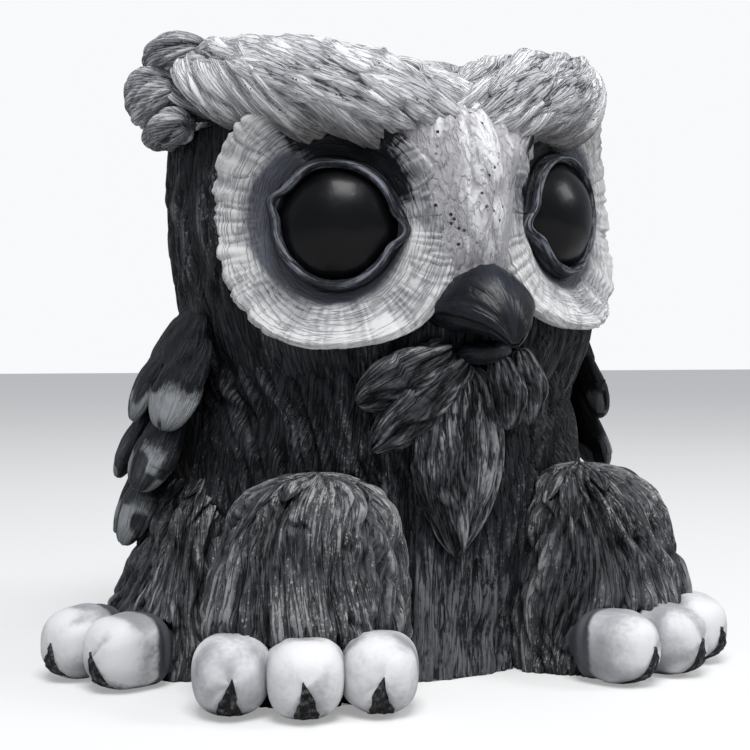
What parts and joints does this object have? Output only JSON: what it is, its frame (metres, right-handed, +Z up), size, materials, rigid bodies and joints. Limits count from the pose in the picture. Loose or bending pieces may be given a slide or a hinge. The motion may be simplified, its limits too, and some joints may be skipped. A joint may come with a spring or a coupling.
{
  "type": "owl figurine",
  "caption": "Squat desk owl figurine with a broad round head, big domed eyes, a plumed brow, furry forelegs, toed feet and folded wings; stands on a flat base.",
  "frame": {"origin": "on the plane that the owl stands on, inside the body's flat underside, below the middle of the crown", "axes": "+Z up, -Y the way that the owl looks, +X the owl's own left"},
  "size_m": [0.0988, 0.0803, 0.0923],
  "materials": {
    "eye_gloss": "gloss black",
    "fur_dark": "painted resin, dry brushed",
    "fur_leg": "painted resin, dry brushed",
    "plume_white": "painted resin, dry brushed",
    "tuft_grey": "painted resin, dry brushed",
    "disc_white": "painted resin, dry brushed",
    "lid_slate": "painted resin, dry brushed",
    "bridge_grey": "painted resin, dry brushed",
    "beak_slate": "painted resin, dry brushed",
    "beard_grey": "painted resin, dry brushed",
    "toe_white": "painted resin, dry brushed",
    "claw_grey": "painted resin, dry brushed",
    "feather_dark": "painted resin, dry brushed"
  },
  "bodies": {
    "root": {"beak_lower": "beak_slate", "beak_upper": "beak_slate", "beard": "beard_grey", "body": "fur_dark", "brow_left": "plume_white", "brow_right": "plume_white", "coverts_left": "feather_dark", "coverts_right": "feather_dark", "crown_feathers": "plume_white", "ear_tuft_lower_left": "tuft_grey", "ear_tuft_lower_right": "tuft_grey", "ear_tuft_middle_left": "tuft_grey", "ear_tuft_middle_right": "tuft_grey", "ear_tuft_upper_left": "tuft_grey", "ear_tuft_upper_right": "tuft_grey", "eye_left": "eye_gloss", "eye_right": "eye_gloss", "eyelid_left": "lid_slate", "eyelid_right": "lid_slate", "face_disc_left": "disc_white", "face_disc_right": "disc_white", "fore_claws_left": "claw_grey", "fore_claws_right": "claw_grey", "fore_toe_inner_left": "toe_white", "fore_toe_inner_right": "toe_white", "fore_toe_middle_left": "toe_white", "fore_toe_middle_right": "toe_white", "fore_toe_outer_left": "toe_white", "fore_toe_outer_right": "toe_white", "foreleg_left": "fur_leg", "foreleg_right": "fur_leg", "head": "fur_dark", "hind_claws_left": "claw_grey", "hind_claws_right": "claw_grey", "hind_leg_left": "fur_leg", "hind_leg_right": "fur_leg", "hind_toe_front_left": "toe_white", "hind_toe_front_right": "toe_white", "hind_toe_rear_left": "toe_white", "hind_toe_rear_right": "toe_white", "nose_bridge": "bridge_grey", "primaries_left": "feather_dark", "primaries_right": "feather_dark", "scapulars_left": "feather_dark", "scapulars_right": "feather_dark", "secondaries_left": "feather_dark", "secondaries_right": "feather_dark", "tail_feathers": "feather_dark", "whisker_lower_left": "beard_grey", "whisker_lower_right": "beard_grey", "whisker_upper_left": "beard_grey", "whisker_upper_right": "beard_grey", "wing_pad_left": "fur_dark", "wing_pad_right": "fur_dark"}
  },
  "joints": []
}
